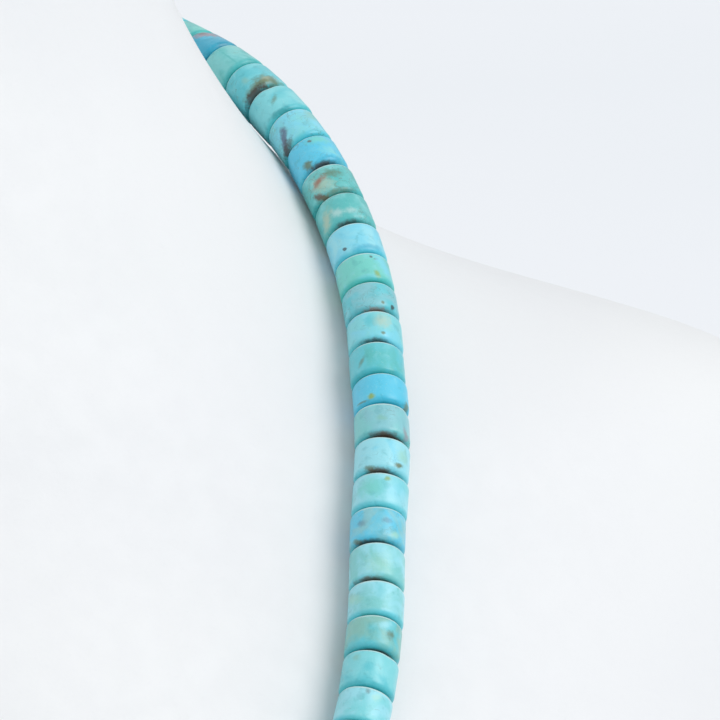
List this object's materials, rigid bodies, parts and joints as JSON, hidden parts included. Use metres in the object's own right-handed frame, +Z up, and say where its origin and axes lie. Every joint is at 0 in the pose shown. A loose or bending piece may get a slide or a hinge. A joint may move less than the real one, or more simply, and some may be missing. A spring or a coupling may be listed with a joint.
{
  "type": "beaded necklace on a neck bust",
  "caption": "String of small turquoise heishi beads, closed by a barrel clasp at the nape, resting on a plain white neck bust with a flat base.",
  "frame": {"origin": "centre of the neck's axis on the flat base that the bust stands on", "axes": "+Z up along the neck, -Y out of the front of the chest, +X the side of the string that the picture shows"},
  "size_m": [0.2214, 0.1622, 0.2],
  "materials": {
    "white_resin": "matt white resin with a fine even grain",
    "turquoise": "tumble-polished turquoise stone, blue to green, with brown matrix spots",
    "turquoise_left": "the same polished turquoise stone on the other run",
    "silver": "polished silver"
  },
  "bodies": {
    "root": {"neck_bust": "white_resin", "bead_run_right": "turquoise", "bead_run_left": "turquoise_left", "clasp": "silver"}
  },
  "joints": []
}
